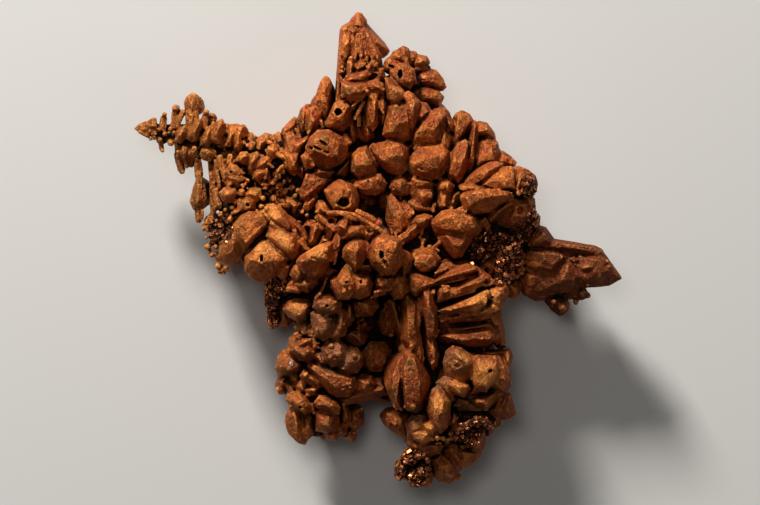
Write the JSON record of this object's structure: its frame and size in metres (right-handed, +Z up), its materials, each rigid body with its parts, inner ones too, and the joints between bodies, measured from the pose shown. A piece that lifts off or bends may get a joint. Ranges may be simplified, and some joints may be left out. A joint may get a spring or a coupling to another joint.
{
  "type": "native copper nugget",
  "caption": "Small cluster of intergrown, faceted copper crystals, about 40 mm across, with a pointed arm on each side and a spire, lying on its back on flat crystal faces.",
  "frame": {"origin": "middle of the bounding box, at the height of the surface that the nugget lies on", "axes": "+Z up towards the side with the finest crystals, +Y towards the tall spire, +X towards the stout dark arm, -X towards the thin spear-shaped arm"},
  "size_m": [0.0403, 0.0395, 0.0144],
  "materials": {
    "tarnished_copper": "dull tarnished native copper, brown-orange with brighter edges and near-black crevices"
  },
  "bodies": {
    "root": {"copper_nugget": "tarnished_copper"}
  },
  "joints": []
}
